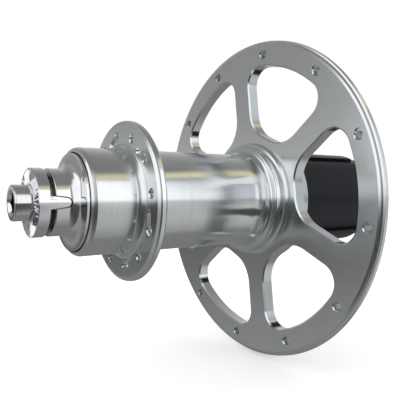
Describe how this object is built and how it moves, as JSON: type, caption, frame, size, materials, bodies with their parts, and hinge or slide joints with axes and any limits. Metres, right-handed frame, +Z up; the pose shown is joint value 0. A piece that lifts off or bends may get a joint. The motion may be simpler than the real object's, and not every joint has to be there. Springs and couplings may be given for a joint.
{
  "type": "bicycle hub",
  "caption": "Rear bicycle hub with a small left flange, a large windowed drive-side flange, a cassette freehub with pawls, cartridge bearings and a hollow quick-release axle.",
  "frame": {"origin": "on the axle's centre line, midway between the two faces that meet the frame's dropouts", "axes": "+X along the axle towards the drive side (freehub), +Z up, +Y forward in the bicycle"},
  "size_m": [0.1446, 0.1126, 0.1126],
  "materials": {
    "polished_aluminium": "fine-turned and polished bright aluminium",
    "black_anodised": "black anodised, satin",
    "axle_aluminium": "turned, satin",
    "bearing_steel": "ground and polished",
    "hardened_steel": "hardened, oil-dark",
    "spring_steel": "blued spring steel",
    "seal_rubber": "matt nitrile rubber"
  },
  "bodies": {
    "axle": {"axle": "axle_aluminium", "left_end_cap": "polished_aluminium", "left_preload_cone": "polished_aluminium", "right_end_cap": "polished_aluminium", "left_cap_o_ring": "seal_rubber", "right_cap_o_ring": "seal_rubber", "hub_to_freehub_spacer": "axle_aluminium", "freehub_inner_race_spacer": "axle_aluminium", "left_bearing_inner_race": "bearing_steel", "right_bearing_inner_race": "bearing_steel", "freehub_inner_bearing_inner_race": "bearing_steel", "freehub_outer_bearing_inner_race": "bearing_steel"},
    "hub_shell": {"hub_shell": "polished_aluminium", "ratchet_ring": "hardened_steel", "left_bearing_outer_race": "bearing_steel", "left_bearing_left_seal": "seal_rubber", "left_bearing_right_seal": "seal_rubber", "right_bearing_outer_race": "bearing_steel", "right_bearing_left_seal": "seal_rubber", "right_bearing_right_seal": "seal_rubber"},
    "freehub": {"freehub_body": "black_anodised", "freehub_seal": "seal_rubber", "freehub_circlip": "spring_steel", "freehub_outer_race_spacer": "axle_aluminium", "pawl_spring_1": "spring_steel", "pawl_spring_2": "spring_steel", "pawl_spring_3": "spring_steel", "freehub_inner_bearing_outer_race": "bearing_steel", "freehub_inner_bearing_left_seal": "seal_rubber", "freehub_inner_bearing_right_seal": "seal_rubber", "freehub_outer_bearing_outer_race": "bearing_steel", "freehub_outer_bearing_left_seal": "seal_rubber", "freehub_outer_bearing_right_seal": "seal_rubber"},
    "left_bearing_balls": {"left_bearing_ball_cage": "bearing_steel"},
    "right_bearing_balls": {"right_bearing_ball_cage": "bearing_steel"},
    "freehub_inner_bearing_balls": {"freehub_inner_bearing_ball_cage": "bearing_steel"},
    "freehub_outer_bearing_balls": {"freehub_outer_bearing_ball_cage": "bearing_steel"},
    "pawl_1": {"pawl_1": "hardened_steel"},
    "pawl_2": {"pawl_2": "hardened_steel"},
    "pawl_3": {"pawl_3": "hardened_steel"}
  },
  "joints": [
    {"name": "shell_spin", "type": "hinge", "parent": "axle", "child": "hub_shell", "pos_m": [0, 0, 0], "axis": [1, 0, 0], "continuous": true},
    {"name": "freehub_spin", "type": "hinge", "parent": "axle", "child": "freehub", "pos_m": [0, 0, 0], "axis": [1, 0, 0], "continuous": true},
    {"name": "pawl_1_pivot", "type": "hinge", "parent": "freehub", "child": "pawl_1", "pos_m": [0.01545, -0.0135, 0], "axis": [1, 0, 0], "range_deg": [0, 14], "stiffness_Nm_per_rad": 0.002, "springref_deg": 14},
    {"name": "pawl_2_pivot", "type": "hinge", "parent": "freehub", "child": "pawl_2", "pos_m": [0.01545, 0.00675, -0.01169], "axis": [1, 0, 0], "range_deg": [0, 14], "stiffness_Nm_per_rad": 0.002, "springref_deg": 14},
    {"name": "pawl_3_pivot", "type": "hinge", "parent": "freehub", "child": "pawl_3", "pos_m": [0.01545, 0.00675, 0.01169], "axis": [1, 0, 0], "range_deg": [0, 14], "stiffness_Nm_per_rad": 0.002, "springref_deg": 14},
    {"name": "left_bearing_cage_spin", "type": "hinge", "parent": "axle", "child": "left_bearing_balls", "pos_m": [0, 0, 0], "axis": [1, 0, 0], "continuous": true},
    {"name": "right_bearing_cage_spin", "type": "hinge", "parent": "axle", "child": "right_bearing_balls", "pos_m": [0, 0, 0], "axis": [1, 0, 0], "continuous": true},
    {"name": "freehub_inner_bearing_cage_spin", "type": "hinge", "parent": "axle", "child": "freehub_inner_bearing_balls", "pos_m": [0, 0, 0], "axis": [1, 0, 0], "continuous": true},
    {"name": "freehub_outer_bearing_cage_spin", "type": "hinge", "parent": "axle", "child": "freehub_outer_bearing_balls", "pos_m": [0, 0, 0], "axis": [1, 0, 0], "continuous": true}
  ],
  "couplings": [
    {"joint": "left_bearing_cage_spin", "follows": "shell_spin", "ratio": 0.57674},
    {"joint": "right_bearing_cage_spin", "follows": "shell_spin", "ratio": 0.57674},
    {"joint": "freehub_inner_bearing_cage_spin", "follows": "freehub_spin", "ratio": 0.57674},
    {"joint": "freehub_outer_bearing_cage_spin", "follows": "freehub_spin", "ratio": 0.57674}
  ]
}
